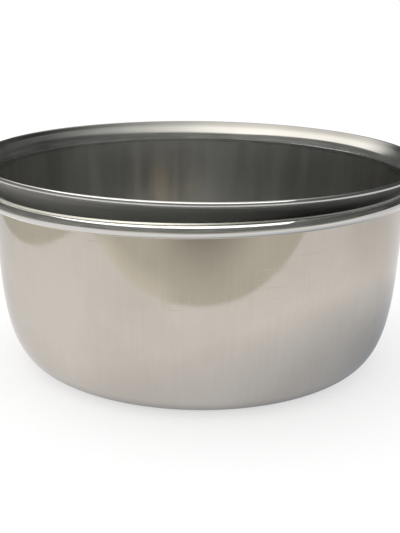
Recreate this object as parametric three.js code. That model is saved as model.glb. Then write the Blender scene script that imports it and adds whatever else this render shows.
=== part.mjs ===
// Coop cup: a drawn sheet-steel cup with a flared mouth, and the loose wire ring that it hangs in by its flare.
// Millimetres, +Z up. The origin is the centre of the foot's underside.

import * as THREE from 'three';

// Driving dimensions of the cup
const cupHeight = 61.0; // from the foot's underside to the top of the rim
const sheetThickness = 0.65;
const wallTopDiameter = 121.6; // the body where its flare begins
const rimOverhang = 4.2; // how far the rim stands out past the wall's top
const flareHeight = 6.5; // from the top of the rim down to where the flare begins
const flareBend = 5.5; // radius of the bend from the wall into the flare
const wallLean = 2.8; // degrees that the wall leans in towards the foot
const wallHeight = 21.5; // straight stretch of wall, from the flare down
const cornerWidth = 13.6; // from the foot's edge out to where the wall's line meets the floor
const footFullness = 0.82; // how far towards that meeting point the corner keeps to the foot's level
const wallFullness = 0.67; // how far towards it the corner keeps to the wall's line

// Driving dimensions of the ring
const ringWire = 3.8; // wire diameter
const ringDrop = 6.0; // from the top of the rim down to the wire's middle, where the ring lies highest
const ringLean = 1.2; // degrees: the ring lies askew, with its +X side high
const ringClearance = 0.3; // gap between the ring and the cup where the ring lies highest

// Fineness of the surfaces
const turnSegments = 72;
const wireSides = 12;
const cornerSteps = 10;
const flareSteps = 6;
const curlSteps = 6;

// Sizes that follow
const wallTopRadius = wallTopDiameter / 2;
const wallLeanAngle = THREE.MathUtils.degToRad(wallLean);
const curlRadius = sheetThickness; // the rim is the sheet folded over once
const curlCentre = new THREE.Vector2(wallTopRadius + rimOverhang - curlRadius, cupHeight - curlRadius);
const wallTop = cupHeight - flareHeight;
const bendCentre = new THREE.Vector2(
  wallTopRadius + flareBend * Math.cos(wallLeanAngle),
  wallTop - flareBend * Math.sin(wallLeanAngle),
);
const wireRadius = ringWire / 2;
const ringLeanAngle = THREE.MathUtils.degToRad(ringLean);
const ringTop = cupHeight - ringDrop;
const bendToWire = flareBend - wireRadius - ringClearance; // the wire lies in the hollow of the flare's bend
const ringRadius = bendCentre.x - Math.sqrt(bendToWire ** 2 - (ringTop - bendCentre.y) ** 2);
const ringHeight = ringTop - ringRadius * Math.sin(ringLeanAngle);

// The wall's outside at a given height.
function onWall(height) {
  return new THREE.Vector2(wallTopRadius - (wallTop - height) * Math.tan(wallLeanAngle), height);
}

// The flare bends out of the wall without a kink and then runs straight to the rim.
function flareOutline() {
  const toRim = new THREE.Vector2().subVectors(curlCentre, bendCentre);
  const bendEnd = toRim.angle() + Math.acos(flareBend / toRim.length());
  const points = [];
  for (let step = 0; step <= flareSteps; step += 1) {
    const angle = THREE.MathUtils.lerp(Math.PI - wallLeanAngle, bendEnd, step / flareSteps);
    points.push(new THREE.Vector2(Math.cos(angle), Math.sin(angle)).multiplyScalar(flareBend).add(bendCentre));
  }
  return points;
}

// From the foot's edge round the corner to the lower end of the straight wall.
function cornerOutline() {
  const wallEnd = onWall(wallTop - wallHeight);
  const toe = onWall(0);
  const footEdge = new THREE.Vector2(toe.x - cornerWidth, 0);
  const footHandle = footEdge.clone().lerp(toe, footFullness);
  const wallHandle = wallEnd.clone().lerp(toe, wallFullness);
  return new THREE.CubicBezierCurve(footEdge, footHandle, wallHandle, wallEnd).getPoints(cornerSteps);
}

// The outside of the sheet from the foot's edge up to the rim.
function outsideOutline() {
  return [...cornerOutline(), ...flareOutline()];
}

// The same outline moved inwards by the sheet's thickness.
function insideOutline(outside) {
  return outside.map((point, index) => {
    const before = outside[Math.max(index - 1, 0)];
    const after = outside[index + 1] ?? curlCentre;
    const along = index === 0 ? new THREE.Vector2(1, 0) : new THREE.Vector2().subVectors(after, before).normalize();
    const inwards = new THREE.Vector2(-along.y, along.x);
    return point.clone().addScaledVector(inwards, sheetThickness);
  });
}

// The folded rim: three quarters of a circle, from the flare's underside over the outside to the flare's top.
function curlOutline(lastPoint) {
  const arriving = new THREE.Vector2().subVectors(curlCentre, lastPoint).angle();
  const points = [];
  for (let step = 0; step <= curlSteps; step += 1) {
    const angle = arriving + Math.PI + 1.5 * Math.PI * step / curlSteps;
    points.push(new THREE.Vector2(Math.cos(angle), Math.sin(angle)).multiplyScalar(curlRadius).add(curlCentre));
  }
  return points;
}

function makeCup() {
  const outside = outsideOutline();
  const profile = [
    new THREE.Vector2(0, 0),
    ...outside,
    ...curlOutline(outside.at(-1)),
    ...insideOutline(outside).reverse(),
    new THREE.Vector2(0, sheetThickness),
  ];
  const geometry = new THREE.LatheGeometry(profile, turnSegments);
  geometry.rotateX(Math.PI / 2);
  const steel = new THREE.MeshStandardMaterial({ color: 0xc8c1b6, roughness: 0.35, metalness: 1.0 });
  const cup = new THREE.Mesh(geometry, steel);
  cup.name = 'cup';
  return cup;
}

function makeRing() {
  const geometry = new THREE.TorusGeometry(ringRadius, wireRadius, wireSides, turnSegments);
  const polishedSteel = new THREE.MeshStandardMaterial({ color: 0xdcdad6, roughness: 0.08, metalness: 1.0 });
  const ring = new THREE.Mesh(geometry, polishedSteel);
  ring.name = 'ring';
  ring.position.z = ringHeight;
  ring.rotation.y = -ringLeanAngle;
  return ring;
}

const coopCup = new THREE.Group();
coopCup.name = 'coop_cup';
coopCup.add(makeCup(), makeRing());

export default coopCup;
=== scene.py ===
"""A stainless steel coop cup standing in its loose wire ring, on a pale floor in soft studio light.

Metres, +Z up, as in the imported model. The cup and the ring are turned and bent afresh here, finer than the
solids that they stand for, from the solids' own boxes and the sizes below.
"""
import math

import bpy
from mathutils import Matrix, Vector


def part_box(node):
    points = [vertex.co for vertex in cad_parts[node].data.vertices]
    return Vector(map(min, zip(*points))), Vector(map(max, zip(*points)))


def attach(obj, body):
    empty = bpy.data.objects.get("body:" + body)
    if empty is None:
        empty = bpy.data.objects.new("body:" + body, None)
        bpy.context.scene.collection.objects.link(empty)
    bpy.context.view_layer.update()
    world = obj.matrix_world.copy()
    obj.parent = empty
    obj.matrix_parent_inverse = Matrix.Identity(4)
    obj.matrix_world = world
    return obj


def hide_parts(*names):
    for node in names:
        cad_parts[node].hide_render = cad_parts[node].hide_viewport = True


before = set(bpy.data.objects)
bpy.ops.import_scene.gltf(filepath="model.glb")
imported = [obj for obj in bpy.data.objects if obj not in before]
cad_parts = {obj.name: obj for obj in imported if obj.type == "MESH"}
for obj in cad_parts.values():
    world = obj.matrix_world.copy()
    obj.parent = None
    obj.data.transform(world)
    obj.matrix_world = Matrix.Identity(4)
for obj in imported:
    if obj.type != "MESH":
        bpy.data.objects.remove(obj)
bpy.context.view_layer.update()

MM = 0.001

# Sizes of the cup that its box doesn't give
SHEET = 0.65 * MM
RIM_OVERHANG = 4.2 * MM
FLARE_HEIGHT = 6.5 * MM
FLARE_BEND = 5.5 * MM
WALL_LEAN = math.radians(2.8)
WALL_HEIGHT = 21.5 * MM
CORNER_WIDTH = 13.6 * MM
FOOT_FULLNESS = 0.82
WALL_FULLNESS = 0.67

# Sizes of the ring that its box doesn't give
WIRE = 3.8 * MM
WELD_SWELL = 0.07 * MM
WELD_LENGTH = 1.4 * MM

# Sizes from the frame
cup_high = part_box("cup")[1]
ring_low, ring_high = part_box("ring")
wall_top_radius = cup_high.x - RIM_OVERHANG
wall_top = cup_high.z - FLARE_HEIGHT
curl_centre = Vector((cup_high.x - SHEET, cup_high.z - SHEET))
bend_centre = Vector((
    wall_top_radius + FLARE_BEND * math.cos(WALL_LEAN),
    wall_top - FLARE_BEND * math.sin(WALL_LEAN),
))
wire_radius = WIRE / 2
ring_radius = ring_high.y - wire_radius
ring_height = (ring_low.z + ring_high.z) / 2
ring_lean = math.asin(((ring_high.z - ring_low.z) / 2 - wire_radius) / ring_radius)

# Where a painted reflection, a warm light streak, lies on the inside
PAINTED_REFLECTION_CENTRE = (-12.6 * MM, 58.5 * MM, 38.0 * MM)

# Where the body is a little dented and scuffed
WORN_CENTRE = (-30.0 * MM, -48.0 * MM, 24.0 * MM)

# Colours of the steel: where it is plain, and where it is lighter, heat-stained, or warm as a painted
# reflection
SATIN_COLOURS = (0.555, 0.517, 0.460), (0.616, 0.575, 0.515)
CLEAN_COLOURS = (0.605, 0.608, 0.600), (0.660, 0.660, 0.650)
# the inside's colour, and the warm colour of its painted reflection
INSIDE_AND_REFLECTION_COLOURS = (0.662, 0.664, 0.652), (0.88, 0.79, 0.68)
WIRE_COLOURS = (0.665, 0.660, 0.640), (0.430, 0.350, 0.250)

# Bands over which the cup's finish and its painted shade change, by height unless they name another axis
FLARE_BAND = (wall_top - 1.0 * MM, wall_top + 0.5 * MM)  # from the hazy inside to the polished flare
CURL_BAND = (cup_high.z - 1.6 * MM, cup_high.z - 1.2 * MM)  # from the flare to the rim's fold
WIPED_BAND = (2.0 * MM, 20.0 * MM)  # from the plain floor to the wiped wall
INSIDE_TOP_BAND = (38.0 * MM, 53.0 * MM)  # the inside is darker towards the top
INSIDE_SHADE_X_BAND = (-6.0 * MM, 28.0 * MM)  # painted shade: the inside is darker towards the right
RIM_SHADE_BAND = (58.8 * MM, 60.4 * MM)  # painted shade on the flare next to the rim
RIM_SHADE_Y_BAND = (-10.0 * MM, 25.0 * MM)  # but only towards the back
NECK_SHADE_X_BAND = (-10.0 * MM, 25.0 * MM)  # painted shade under the rim on the neck, the flare's outside, deeper towards the right
CROWN_BAND = (54.4 * MM, 60.4 * MM)  # the flare is slightly crowned across its width, by a bump alone

# Roughness of the polished steel
INSIDE_ROUGH = 0.30
FLARE_ROUGH = 0.07  # on top of the rim's
NECK_ROUGH = 0.24  # on top of the rim's

# Fineness of the surfaces
TURN_STEPS = 288
CORNER_STEPS = 40
WALL_STEPS = 8
BEND_STEPS = 16
FLARE_STEPS = 6
CURL_STEPS = 24
FLOOR_STEPS = 10
WIRE_STEPS = 32
WELD_STEPS = 16


def mix(low, high, part):
    return low + (high - low) * part


def direction(angle):
    return Vector((math.cos(angle), math.sin(angle)))


def on_wall(height):
    return Vector((wall_top_radius - (wall_top - height) * math.tan(WALL_LEAN), height))


def corner_outline():
    """From the foot's edge round the corner to the lower end of the straight wall: radius and height."""
    wall_end = on_wall(wall_top - WALL_HEIGHT)
    toe = on_wall(0)
    foot_edge = toe - Vector((CORNER_WIDTH, 0))
    controls = (foot_edge, foot_edge.lerp(toe, FOOT_FULLNESS), wall_end.lerp(toe, WALL_FULLNESS), wall_end)
    points = []
    for step in range(CORNER_STEPS + 1):
        t = step / CORNER_STEPS
        weights = ((1 - t) ** 3, 3 * t * (1 - t) ** 2, 3 * t * t * (1 - t), t ** 3)
        points.append(sum((p * w for p, w in zip(controls, weights)), Vector((0, 0))))
    return points


def wall_outline():
    return [on_wall(wall_top - WALL_HEIGHT * (1 - step / WALL_STEPS)) for step in range(1, WALL_STEPS)]


def flare_outline():
    """Bends out of the wall and then runs straight to the rim."""
    to_rim = curl_centre - bend_centre
    bend_end = math.atan2(to_rim.y, to_rim.x) + math.acos(FLARE_BEND / to_rim.length)
    bend = [bend_centre + direction(mix(math.pi - WALL_LEAN, bend_end, step / BEND_STEPS)) * FLARE_BEND
            for step in range(BEND_STEPS + 1)]
    return bend + [bend[-1].lerp(curl_centre, step / FLARE_STEPS) for step in range(1, FLARE_STEPS)]


def inside_outline(outside):
    """The outside moved inwards by the sheet's thickness."""
    points = []
    for index, point in enumerate(outside):
        before = outside[max(index - 1, 0)]
        after = outside[index + 1] if index + 1 < len(outside) else curl_centre
        along = Vector((1, 0)) if index == 0 else (after - before).normalized()
        points.append(point + Vector((-along.y, along.x)) * SHEET)
    return points


def curl_outline(last_point):
    """The folded rim: three quarters of a circle, over the outside, from under the flare to its top."""
    arriving = curl_centre - last_point
    start = math.atan2(arriving.y, arriving.x) + math.pi
    return [curl_centre + direction(start + 1.5 * math.pi * step / CURL_STEPS) * SHEET
            for step in range(CURL_STEPS + 1)]


def disc_outline(edge, height):
    """Points from the axis out to the edge of a flat disc, without the edge itself."""
    return [Vector((edge * step / FLOOR_STEPS, height)) for step in range(FLOOR_STEPS)]


def turned_mesh(name, stretches):
    """A closed turned mesh. stretches is a list of (points, material index), from one end of the axis to the
    other."""
    rows = [(point, slot) for points, slot in stretches for point in points]
    verts = [Vector((0, 0, rows[0][0].y))]
    for point, _ in rows[1:-1]:
        for step in range(TURN_STEPS):
            around = direction(2 * math.pi * step / TURN_STEPS) * point.x
            verts.append(Vector((around.x, around.y, point.y)))
    verts.append(Vector((0, 0, rows[-1][0].y)))
    faces = []
    slots = []
    last = len(verts) - 1
    first_row, last_row = 1, last - TURN_STEPS
    for step in range(TURN_STEPS):
        ahead = (step + 1) % TURN_STEPS
        faces.append((0, first_row + ahead, first_row + step))
        slots.append(rows[1][1])
        faces.append((last, last_row + step, last_row + ahead))
        slots.append(rows[-1][1])
    for row in range(len(rows) - 3):
        low, high = 1 + row * TURN_STEPS, 1 + (row + 1) * TURN_STEPS
        for step in range(TURN_STEPS):
            ahead = (step + 1) % TURN_STEPS
            faces.append((low + step, low + ahead, high + ahead, high + step))
            slots.append(rows[row + 2][1])
    mesh = bpy.data.meshes.new(name)
    mesh.from_pydata(verts, [], faces)
    mesh.polygons.foreach_set("material_index", slots)
    mesh.shade_smooth()
    return mesh


def add_object(name, data):
    made = bpy.data.objects.new(name, data)
    bpy.context.scene.collection.objects.link(made)
    return made


class Nodes:
    """The nodes of a material or world, made and joined by short calls."""

    def __init__(self, owner):
        owner.use_nodes = True
        self.tree = owner.node_tree
        self.shader = self.tree.nodes.get("Principled BSDF")

    def add(self, kind, inputs=None, **settings):
        made = self.tree.nodes.new("ShaderNode" + kind)
        for name, value in settings.items():
            setattr(made, name, value)
        for name, value in (inputs or {}).items():
            self.feed(value, made.inputs[name])
        return made

    def feed(self, value, socket):
        if isinstance(value, bpy.types.NodeSocket):
            self.tree.links.new(value, socket)
        else:
            socket.default_value = value

    def place(self):
        return self.add("TexCoord").outputs["Object"]

    def parts(self, vector):
        return self.add("SeparateXYZ", {0: vector}).outputs

    def vector(self, operation, *values):
        return self.add("VectorMath", dict(enumerate(values)), operation=operation).outputs[0]

    def scaled(self, vector, factor):
        return self.add("VectorMath", {0: vector, "Scale": factor}, operation="SCALE").outputs[0]

    def length(self, vector):
        return self.add("VectorMath", {0: vector}, operation="LENGTH").outputs["Value"]

    def distance(self, place, point):
        return self.add("VectorMath", {0: place, 1: point}, operation="DISTANCE").outputs["Value"]

    def math(self, operation, *values):
        return self.add("Math", dict(enumerate(values)), operation=operation).outputs[0]

    def plus(self, first, second):
        return self.math("ADD", first, second)

    def times(self, first, second):
        return self.math("MULTIPLY", first, second)

    def opposite(self, part):
        return self.math("SUBTRACT", 1.0, part)

    def ramp(self, value, low, high, to_low, to_high, smooth=False):
        made = self.add("MapRange", {
            "Value": value, "From Min": low, "From Max": high, "To Min": to_low, "To Max": to_high,
        }, interpolation_type="SMOOTHSTEP" if smooth else "LINEAR")
        return made.outputs["Result"]

    def noise(self, vector, detail=2.0, scale=1.0, roughness=0.5):
        return self.add("TexNoise", {
            "Vector": vector, "Scale": scale, "Detail": detail, "Roughness": roughness}).outputs["Fac"]

    def blend(self, part, low, high):
        """A colour between two others, each a socket or red, green and blue."""
        made = self.add("Mix", {"Factor": part}, data_type="RGBA")
        for colour, socket in ((low, made.inputs[6]), (high, made.inputs[7])):
            self.feed(colour if isinstance(colour, bpy.types.NodeSocket) else (*colour, 1), socket)
        return made.outputs[2]


def turned_coordinates(nodes, around, along):
    """Where a point is on a turned surface: `around` cells per radian about the axis, `along` per metre."""
    place = nodes.place()
    flat = nodes.vector("MULTIPLY", place, (1, 1, 0))
    spread = nodes.scaled(nodes.vector("NORMALIZE", flat), around)
    path = nodes.times(nodes.plus(nodes.length(flat), nodes.parts(place)["Z"]), along)
    return nodes.vector("ADD", spread, nodes.add("CombineXYZ", {"Z": path}).outputs[0])


def steel(name):
    """A bare metal, as its material, its nodes and the place on the object."""
    material = bpy.data.materials.new(name)
    nodes = Nodes(material)
    nodes.shader.inputs["Metallic"].default_value = 1.0
    return material, nodes, nodes.place()


def finish(nodes, colour, rough, layers):
    """Gives a steel its colour, roughness and bumps. layers is a list of (height output, depth in metres)."""
    nodes.feed(colour, nodes.shader.inputs["Base Color"])
    nodes.feed(rough, nodes.shader.inputs["Roughness"])
    normal = None
    for height, depth in layers:
        inputs = {"Strength": 1.0, "Distance": depth, "Height": height}
        if normal is not None:
            inputs["Normal"] = normal
        normal = nodes.add("Bump", inputs).outputs["Normal"]
    nodes.feed(normal, nodes.shader.inputs["Normal"])


def satin_steel():
    """The body: brushed upwards, a little cloudy, with fine scratches, finger marks and a scuffed patch."""
    material, nodes, place = steel("satin_steel")
    nodes.shader.inputs["Specular Tint"].default_value = (0.86, 0.86, 0.87, 1)
    cloud = nodes.noise(place, detail=4.0, scale=34.0)
    streak = nodes.noise(turned_coordinates(nodes, 60.0, 40.0), detail=3.0)
    tone = nodes.plus(nodes.times(cloud, 0.85), nodes.times(streak, 0.15))
    colour = nodes.blend(nodes.ramp(tone, 0.38, 0.62, 0.0, 1.0), *SATIN_COLOURS)

    scratch = nodes.noise(turned_coordinates(nodes, 5.0, 2600.0), detail=3.0)
    scratch = nodes.ramp(scratch, 0.68, 0.74, 0.0, 1.0)
    mark = nodes.noise(place, detail=5.0, scale=110.0, roughness=0.62)
    dull = nodes.ramp(mark, 0.52, 0.70, 0.0, 0.05, smooth=True)
    grain = nodes.ramp(streak, 0.3, 0.7, 0.055, 0.080)
    rough = nodes.plus(nodes.plus(grain, dull), nodes.times(scratch, 0.10))

    swell = nodes.noise(place, detail=1.0, scale=45.0)
    near_worn = nodes.ramp(nodes.distance(place, WORN_CENTRE), 8.0 * MM, 32.0 * MM, 2.4, 0.8, smooth=True)
    worn = nodes.times(mark, near_worn)
    fine = nodes.noise(turned_coordinates(nodes, 190.0, 90.0), detail=2.0)
    finish(nodes, colour, rough, [
        (swell, 0.05 * MM), (worn, 0.011 * MM), (streak, 0.0006 * MM), (fine, 0.0003 * MM),
        (scratch, -0.005 * MM)])
    return material


def inside_colour(nodes, place, wiped, cloud, off_floor):
    """A thin film over the steel, wiped in streaks above the floor, with a warm painted reflection at one
    spot, painted shade towards the right, and darker towards the top.
    """
    parts = nodes.parts(place)
    # painted reflection: a warm, lighter streak where the inside mirrors something bright
    near_painted_reflection = nodes.ramp(nodes.distance(place, PAINTED_REFLECTION_CENTRE), 2.0 * MM, 20.0 * MM, 1.0, 0.0, smooth=True)
    painted_reflection = nodes.times(near_painted_reflection, nodes.ramp(wiped, 0.30, 0.65, 0.2, 1.0, smooth=True))
    tone_and_shade = nodes.plus(nodes.times(nodes.ramp(wiped, 0.3, 0.7, -0.07, 0.07), off_floor), 1.0)
    tone_and_shade = nodes.times(tone_and_shade, nodes.ramp(cloud, 0.3, 0.7, 0.94, 1.06))
    # painted shade: the inside darker towards the right
    tone_and_shade = nodes.times(tone_and_shade, nodes.ramp(parts["X"], *INSIDE_SHADE_X_BAND, 1.05, 0.78, smooth=True))
    tone_and_shade = nodes.times(tone_and_shade, nodes.ramp(parts["Z"], *INSIDE_TOP_BAND, 1.0, 0.84))
    return nodes.scaled(nodes.blend(painted_reflection, *INSIDE_AND_REFLECTION_COLOURS), tone_and_shade)


def flare_colour(nodes, place, cloud, on_top, neck):
    """Clean steel, with painted shade on the outside of the flare and next to the rim at the back."""
    parts = nodes.parts(place)
    # painted shade: the neck darkened under the rim, more towards the right
    neck_painted_shade = nodes.times(neck, nodes.ramp(parts["X"], *NECK_SHADE_X_BAND, 0.11, 0.32, smooth=True))
    # painted shade: the flare darkened next to the rim, at the back only
    rim_painted_shade = nodes.times(on_top, nodes.ramp(parts["Z"], *RIM_SHADE_BAND, 0.0, 0.40, smooth=True))
    rim_painted_shade = nodes.times(rim_painted_shade, nodes.ramp(parts["Y"], *RIM_SHADE_Y_BAND, 0.0, 1.0, smooth=True))
    clean = nodes.blend(nodes.ramp(cloud, 0.35, 0.65, 0.0, 1.0), *CLEAN_COLOURS)
    return nodes.scaled(clean, nodes.opposite(nodes.plus(neck_painted_shade, rim_painted_shade)))


def polished_steel():
    """The rest of the cup, polished round its axis. The outside of the flare, its neck, is satin, and the
    inside below the flare is hazy."""
    material, nodes, place = steel("polished_steel")
    nodes.shader.inputs["Anisotropic"].default_value = 0.5
    tangent = nodes.add("Tangent", direction_type="RADIAL", axis="Z").outputs[0]
    nodes.feed(tangent, nodes.shader.inputs["Tangent"])

    height = nodes.parts(place)["Z"]
    below_flare = nodes.ramp(height, *FLARE_BAND, 1.0, 0.0, smooth=True)
    below_curl = nodes.ramp(height, *CURL_BAND, 1.0, 0.0)
    off_floor = nodes.ramp(height, *WIPED_BAND, 0.0, 1.0, smooth=True)
    facing_up = nodes.parts(nodes.add("TexCoord").outputs["Normal"])["Z"]
    on_top = nodes.ramp(facing_up, 0.0, 0.2, 0.0, 1.0)
    neck = nodes.times(nodes.opposite(on_top), below_curl)
    inner = nodes.times(on_top, below_curl)
    flared = nodes.times(inner, nodes.opposite(below_flare))

    wiped = nodes.noise(turned_coordinates(nodes, 14.0, 24.0), detail=2.0)
    cloud = nodes.noise(place, detail=4.0, scale=38.0)
    # the inside's colour carries a painted reflection and painted shade
    inside_with_painted_light = inside_colour(nodes, place, wiped, cloud, off_floor)
    colour = nodes.blend(below_flare, flare_colour(nodes, place, cloud, on_top, neck), inside_with_painted_light)

    haze = nodes.times(nodes.ramp(wiped, 0.32, 0.76, 0.0, 0.08, smooth=True), off_floor)
    hazy = nodes.plus(haze, INSIDE_ROUGH)
    clear = nodes.plus(nodes.ramp(cloud, 0.3, 0.75, 0.05, 0.08), nodes.times(inner, FLARE_ROUGH))
    clear = nodes.plus(clear, nodes.times(neck, NECK_ROUGH))
    rough = nodes.add("Mix", {"Factor": below_flare, 2: clear, 3: hazy}, data_type="FLOAT").outputs[0]

    swell = nodes.noise(place, detail=1.0, scale=60.0)
    across = nodes.ramp(height, *CROWN_BAND, -math.pi, math.pi)
    crown = nodes.times(nodes.plus(nodes.math("COSINE", across), 1.0), on_top)
    ripple = nodes.times(nodes.noise(turned_coordinates(nodes, 9.0, 60.0), detail=3.0), flared)
    streak = nodes.times(nodes.noise(turned_coordinates(nodes, 26.0, 8.0), detail=3.0), inner)
    turning = nodes.times(nodes.noise(turned_coordinates(nodes, 2.0, 1500.0), detail=2.0), inner)
    finish(nodes, colour, rough, [
        (swell, 0.06 * MM), (crown, 0.095 * MM), (ripple, 0.045 * MM), (streak, 0.006 * MM),
        (turning, 0.0006 * MM)])
    return material


def bright_wire():
    """The ring: polished round wire, with a heat tint and a ground weld at the back."""
    material, nodes, place = steel("bright_wire")
    from_weld = nodes.distance(place, Vector((0, ring_radius, ring_height)))
    heat = nodes.ramp(from_weld, 1.0 * MM, 5.0 * MM, 0.75, 0.0, smooth=True)
    colour = nodes.blend(heat, *WIRE_COLOURS)
    cloud = nodes.ramp(nodes.noise(place, detail=3.0, scale=70.0), 0.35, 0.75, 0.035, 0.075)
    ground = nodes.ramp(from_weld, 0.8 * MM, 2.5 * MM, 0.22, 0.0, smooth=True)
    swell = nodes.noise(place, detail=1.0, scale=90.0)
    drawn = nodes.noise(turned_coordinates(nodes, 14.0, 3000.0), detail=3.0)
    finish(nodes, colour, nodes.plus(cloud, ground), [(swell, 0.010 * MM), (drawn, 0.0002 * MM)])
    return material


def make_cup():
    outside = [*corner_outline(), *wall_outline()]
    neck = flare_outline()
    curl = curl_outline(neck[-1])
    inside = inside_outline([*outside, *neck])
    floor_inside = disc_outline(inside[0].x, SHEET)
    mesh = turned_mesh("cup_shell", [
        ([*disc_outline(outside[0].x, 0), *outside], 0),
        ([*neck, *curl, *reversed(inside), *reversed(floor_inside)], 1),
    ])
    mesh.materials.append(satin_steel())
    mesh.materials.append(polished_steel())
    return add_object("cup_shell", mesh)


def ring_angles():
    """Even steps round the ring, with finer ones across the weld at the back."""
    reach = 2 * WELD_LENGTH / ring_radius
    weld = math.pi / 2
    even = [2 * math.pi * step / TURN_STEPS for step in range(TURN_STEPS)]
    fine = [weld + mix(-reach, reach, step / WELD_STEPS) for step in range(WELD_STEPS + 1)]
    return sorted([angle for angle in even if abs(angle - weld) > reach * 1.05] + fine)


def make_ring():
    verts = []
    faces = []
    lean = Matrix.Rotation(-ring_lean, 3, "Y")
    angles = ring_angles()
    for angle in angles:
        from_weld = (angle - math.pi / 2) * ring_radius / WELD_LENGTH
        swell = WELD_SWELL * math.exp(-4 * from_weld ** 2)
        turn = Matrix.Rotation(angle, 3, "Z")
        for side in range(WIRE_STEPS):
            around = direction(2 * math.pi * side / WIRE_STEPS) * (wire_radius + swell)
            place = lean @ (turn @ Vector((ring_radius - swell + around.x, 0, around.y)))
            verts.append(place + Vector((0, 0, ring_height)))
    for step in range(len(angles)):
        here, ahead = step * WIRE_STEPS, (step + 1) % len(angles) * WIRE_STEPS
        for side in range(WIRE_STEPS):
            up = (side + 1) % WIRE_STEPS
            faces.append((here + side, ahead + side, ahead + up, here + up))
    mesh = bpy.data.meshes.new("wire_ring")
    mesh.from_pydata(verts, [], faces)
    mesh.shade_smooth()
    mesh.materials.append(bright_wire())
    return add_object("wire_ring", mesh)


cup_shell = make_cup()
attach(cup_shell, "cup")
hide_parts("cup")

wire_ring = make_ring()
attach(wire_ring, "ring")
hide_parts("ring")


# The stage: a pale floor that fades into the white world, and a dim studio that only the steel mirrors
ROUND_SIDES = 96
FLOOR_RADIUS = 0.60
FLOOR_FADE = 0.30
FLOOR_COLOUR = (0.42, 0.42, 0.42)
FLOOR_WHITE = 0.62
CARD_HEIGHT = 0.5 * MM
SHEET_FRONT = -0.131  # the white sheet under the cup ends here towards the camera
SHEET_LEFT = -0.170
SHEET_SHADOW = (0.040, -0.005, 0)
SHEET_DIM = (0.185, 0.020, 0)
SHEET_COLOURS = (0.950, 0.930, 0.925), (0.84, 0.94, 1.08)  # in the light and in the cup's shadow
TABLE_SHADE = (0.010, -0.250, 0)
TABLE_COLOUR = (0.665, 0.645, 0.575)
STAGE_REACH = 1.6
STUDIO_RADIUS = 2.4
STUDIO_HEIGHT = 1.0
STUDIO_LEVEL = 0.165
STUDIO_LOSS_RIGHT = 0.055
STUDIO_LOSS_BACK = 0.065
WALL_COLOURS = (1.0, 0.98, 0.88), (0.93, 0.97, 1.0)
CEILING_COLOURS = (0.97, 0.98, 0.92), (1.0, 0.955, 0.875)  # dim and in the window
CEILING_BRIGHT = 1.32
REFLECTOR_RADII = (0.072, 0.60)
REFLECTOR_ANGLES = (math.radians(140), math.radians(320))
REFLECTOR_SIDES = 48
REFLECTOR_BRIGHT = 2.2
SOFTBOX_SIZE = 1.6
SOFTBOX_RADIANCE = 0.85
WORLD_FILL = 0.80
WHITE = (1, 1, 1, 1)


def stage_mesh(name, corners, faces=None):
    mesh = bpy.data.meshes.new(name)
    mesh.from_pydata(corners, [], faces or [tuple(range(len(corners)))])
    return add_object(name, mesh)


def round_corners(radius, height):
    around = [direction(2 * math.pi * step / ROUND_SIDES) * radius for step in range(ROUND_SIDES)]
    return [(point.x, point.y, height) for point in around]


def glowing(name):
    """A material with no shader yet, its nodes and the place on the object."""
    material = bpy.data.materials.new(name)
    nodes = Nodes(material)
    nodes.tree.nodes.remove(nodes.shader)
    return material, nodes, nodes.place()


def glow(nodes, colour, strength):
    emission = nodes.add("Emission", {"Color": colour, "Strength": strength}).outputs[0]
    nodes.feed(emission, nodes.tree.nodes["Material Output"].inputs["Surface"])


def make_floor():
    floor = stage_mesh("floor", round_corners(FLOOR_RADIUS, 0))
    material = bpy.data.materials.new("floor")
    nodes = Nodes(material)
    nodes.shader.inputs["Base Color"].default_value = (*FLOOR_COLOUR, 1)
    nodes.shader.inputs["Roughness"].default_value = 1.0
    nodes.shader.inputs["Specular IOR Level"].default_value = 0.0
    direct = nodes.add("LightPath").outputs["Is Camera Ray"]
    nodes.feed(nodes.times(direct, FLOOR_WHITE), nodes.shader.inputs["Emission Strength"])
    nodes.shader.inputs["Emission Color"].default_value = WHITE
    near = nodes.ramp(nodes.length(nodes.place()), FLOOR_FADE, FLOOR_RADIUS, 1.0, 0.0, smooth=True)
    nodes.feed(near, nodes.shader.inputs["Alpha"])
    floor.data.materials.append(material)


def mirrored_only(card, material):
    """The steel mirrors the card, but the camera doesn't see it, and it doesn't light or shade the floor."""
    card.data.materials.append(material)
    card.visible_camera = False
    card.visible_diffuse = False
    card.visible_shadow = False
    card.visible_transmission = False


def floor_card(name, low, high, material):
    corners = ((low[0], low[1]), (high[0], low[1]), (high[0], high[1]), (low[0], high[1]))
    mirrored_only(stage_mesh(name, [(*corner, CARD_HEIGHT) for corner in corners]), material)


def brighter_twice(nodes, strength, rightwards, low, high, extra):
    """Raises a card's strength for light that the steel has mirrored exactly twice, which gives the ring its
    white band. `extra` is how much is added left of `low`, and it fades out up to `high`."""
    twice = nodes.math("COMPARE", nodes.add("LightPath").outputs["Glossy Depth"], 2.0, 0.5)
    gain = nodes.times(twice, nodes.ramp(rightwards, low, high, extra, 0.0, smooth=True))
    return nodes.times(strength, nodes.plus(gain, 1.0))


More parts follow.
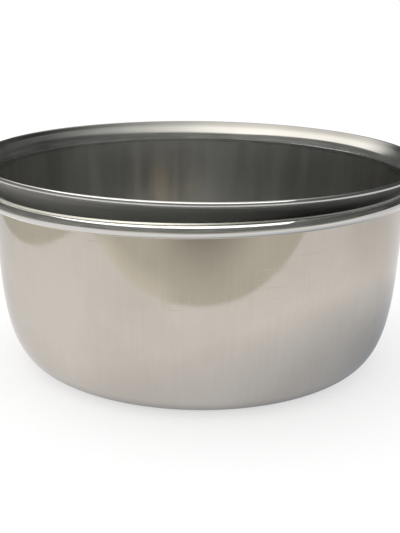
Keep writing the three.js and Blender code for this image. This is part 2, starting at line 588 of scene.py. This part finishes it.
def table_material():
    """The table beyond the white sheet: shaded by the camera in the middle, and dim far away."""
    material, nodes, place = glowing("table")
    parts = nodes.parts(place)
    shaded = nodes.ramp(nodes.distance(place, TABLE_SHADE), 0.03, 0.118, 0.42, 1.0, smooth=True)
    strength = nodes.times(shaded, nodes.ramp(nodes.length(place), 0.22, 0.34, 1.0, 0.35, smooth=True))
    by_sheet = nodes.ramp(parts["Y"], -0.158, SHEET_FRONT, 0.0, 0.32, smooth=True)
    by_sheet = nodes.times(by_sheet, nodes.ramp(parts["X"], -0.05, -0.01, 1.0, 0.0, smooth=True))
    by_sheet = nodes.times(by_sheet, nodes.ramp(parts["X"], -0.16, -0.12, 0.0, 1.0, smooth=True))
    strength = nodes.times(strength, nodes.plus(by_sheet, 1.0))
    glow(nodes, (*TABLE_COLOUR, 1), brighter_twice(nodes, strength, parts["X"], -0.04, 0.09, 6.0))
    return material


def sheet_material():
    """The white sheet: in the cup's soft shadow to the right, and dimmer far away and right under the cup."""
    material, nodes, place = glowing("sheet")
    far = nodes.length(place)
    shade = nodes.ramp(nodes.distance(place, SHEET_SHADOW), 0.018, 0.097, 0.56, 0.0)
    fading = nodes.ramp(far, 0.11, 0.36, 1.0, 0.76, smooth=True)
    fading = nodes.times(fading, nodes.ramp(far, 0.046, 0.055, 0.40, 1.0, smooth=True))
    from_dim = nodes.distance(place, SHEET_DIM)
    fading = nodes.times(fading, nodes.ramp(from_dim, 0.02, 0.10, 0.86, 1.0, smooth=True))
    strength = nodes.times(nodes.opposite(shade), fading)
    strength = brighter_twice(nodes, strength, nodes.parts(place)["X"], -0.15, -0.07, 1.6)
    glow(nodes, nodes.blend(shade, *SHEET_COLOURS), strength)
    return material


def studio_strength(nodes, place):
    """The dim light of the walls and ceiling: strongest at the front left, and patchy."""
    facing = nodes.parts(nodes.vector("NORMALIZE", nodes.vector("MULTIPLY", place, (1, 1, 0))))
    from_right = nodes.times(facing["X"], -STUDIO_LOSS_RIGHT)
    from_back = nodes.times(facing["Y"], -STUDIO_LOSS_BACK)
    level = nodes.plus(nodes.plus(from_right, from_back), STUDIO_LEVEL)
    patches = nodes.noise(place, detail=5.0, scale=2.0, roughness=0.6)
    return nodes.times(level, nodes.ramp(patches, 0.3, 0.7, 0.60, 1.55))


def wall_material():
    material, nodes, place = glowing("studio_wall")
    tint = nodes.blend(nodes.noise(place, detail=2.0, scale=1.7), *WALL_COLOURS)
    glow(nodes, tint, studio_strength(nodes, place))
    return material


def edge_ramp(nodes, place, through, inwards, dark_at, bright_at):
    """0 to 1 across a straight edge of the window, which passes `through` and lies square to `inwards`."""
    offset = nodes.vector("SUBTRACT", place, (*through, 0))
    inwards = (*Vector(inwards).normalized(), 0)
    depth = nodes.add("VectorMath", {0: offset, 1: inwards}, operation="DOT_PRODUCT").outputs["Value"]
    return nodes.ramp(depth, dark_at, bright_at, 0.0, 1.0, smooth=True)


def ceiling_material():
    """A bright window of soft light in the dim ceiling, crisp at its left and soft at its right."""
    material, nodes, place = glowing("ceiling")
    left = edge_ramp(nodes, place, (-0.53, -0.40), (0.915, 0.404), -0.12, 0.08)
    front = edge_ramp(nodes, place, (0.0, -0.60), (-0.2, 1.0), -0.30, 0.34)
    right = edge_ramp(nodes, place, (0.22, 0.0), (-1.0, 0.0), -0.65, 0.55)
    back = edge_ramp(nodes, place, (0.0, 1.35), (0.0, -1.0), -0.60, 0.60)
    window = nodes.times(nodes.times(left, front), nodes.times(right, back))
    strength = nodes.plus(studio_strength(nodes, place), nodes.times(window, CEILING_BRIGHT))
    glow(nodes, nodes.blend(window, *CEILING_COLOURS), strength)
    return material


def make_studio():
    top = round_corners(STUDIO_RADIUS, STUDIO_HEIGHT)
    faces = [(i, (i + 1) % ROUND_SIDES, (i + 1) % ROUND_SIDES + ROUND_SIDES, i + ROUND_SIDES)
             for i in range(ROUND_SIDES)]
    walls = stage_mesh("studio_wall", [*round_corners(STUDIO_RADIUS, 0), *top], faces)
    mirrored_only(walls, wall_material())
    mirrored_only(stage_mesh("ceiling", top), ceiling_material())


def make_reflector():
    """A bright half cone about the cup's axis that gives light on its underside alone: only the ring's top
    mirrors it."""
    angles = [mix(*REFLECTOR_ANGLES, i / REFLECTOR_SIDES) for i in range(REFLECTOR_SIDES + 1)]
    verts = [(*(direction(a) * r), cup_high.z + r) for r in REFLECTOR_RADII for a in angles]
    faces = [(i, i + 1, i + 2 + REFLECTOR_SIDES, i + 1 + REFLECTOR_SIDES) for i in range(REFLECTOR_SIDES)]
    material = bpy.data.materials.new("reflector")
    nodes = Nodes(material)
    nodes.tree.nodes.remove(nodes.shader)
    lit = nodes.add("Emission", {"Color": WHITE, "Strength": REFLECTOR_BRIGHT}).outputs[0]
    clear = nodes.add("BsdfTransparent").outputs[0]
    upper = nodes.add("NewGeometry").outputs["Backfacing"]
    sides = nodes.add("MixShader", {0: upper, 1: lit, 2: clear}).outputs[0]
    nodes.feed(sides, nodes.tree.nodes["Material Output"].inputs["Surface"])
    mirrored_only(stage_mesh("reflector", verts, faces), material)


def make_softbox():
    """One large soft light from above and the left, for the floor and the cup's shadow on it."""
    data = bpy.data.lights.new("softbox", "AREA")
    data.shape = "RECTANGLE"
    data.size = SOFTBOX_SIZE
    data.size_y = SOFTBOX_SIZE
    data.energy = SOFTBOX_RADIANCE * math.pi * SOFTBOX_SIZE ** 2
    softbox = add_object("softbox", data)
    softbox.location = (-0.45, 0.10, 1.0)
    softbox.visible_glossy = False


def make_world():
    """White where it is seen, directly or in the steel, and a soft fill for everything else."""
    world = bpy.data.worlds.new("world")
    bpy.context.scene.world = world
    nodes = Nodes(world)
    fill = nodes.tree.nodes["Background"]
    fill.inputs["Color"].default_value = WHITE
    fill.inputs["Strength"].default_value = WORLD_FILL
    seen = nodes.add("Background", {"Color": WHITE, "Strength": 1.0})
    path = nodes.add("LightPath").outputs
    direct = nodes.math("MAXIMUM", path["Is Camera Ray"], path["Is Glossy Ray"])
    any_of = nodes.math("MAXIMUM", direct, path["Is Transmission Ray"])
    choose = nodes.add("MixShader", {0: any_of, 1: fill.outputs[0], 2: seen.outputs[0]})
    nodes.feed(choose.outputs[0], nodes.tree.nodes["World Output"].inputs["Surface"])


make_floor()
table = table_material()
floor_card("table_front", (-STAGE_REACH, -STAGE_REACH), (STAGE_REACH, SHEET_FRONT), table)
floor_card("table_left", (-STAGE_REACH, SHEET_FRONT), (SHEET_LEFT, STAGE_REACH), table)
floor_card("sheet", (SHEET_LEFT, SHEET_FRONT), (STAGE_REACH, STAGE_REACH), sheet_material())
make_studio()
make_reflector()
make_softbox()
make_world()


# The camera, as fitted to the photograph
CAMERA_PLACE = Vector((0.0, -0.2849, 0.1121))
CAMERA_PITCH = math.radians(16.85)
CAMERA_YAW = math.radians(-0.09)
CAMERA_ROLL = math.radians(0.74)
FRAME_LONG_SIDE = 533
FOCAL_PIXELS = 969.7


def make_camera():
    data = bpy.data.cameras.new("camera")
    data.lens = FOCAL_PIXELS * data.sensor_width / FRAME_LONG_SIDE
    data.clip_start = 0.01
    camera = add_object("camera", data)
    aim = Matrix.Rotation(CAMERA_YAW, 3, "Z") @ Matrix.Rotation(math.pi / 2 - CAMERA_PITCH, 3, "X")
    turned = aim @ Matrix.Rotation(CAMERA_ROLL, 3, "Z")
    camera.matrix_world = Matrix.Translation(CAMERA_PLACE) @ turned.to_4x4()
    bpy.context.scene.camera = camera


make_camera()
bpy.context.scene.view_settings.view_transform = "Standard"
bpy.context.scene.cycles.glossy_bounces = 10  # the mirror inside of the cup sends light round many times
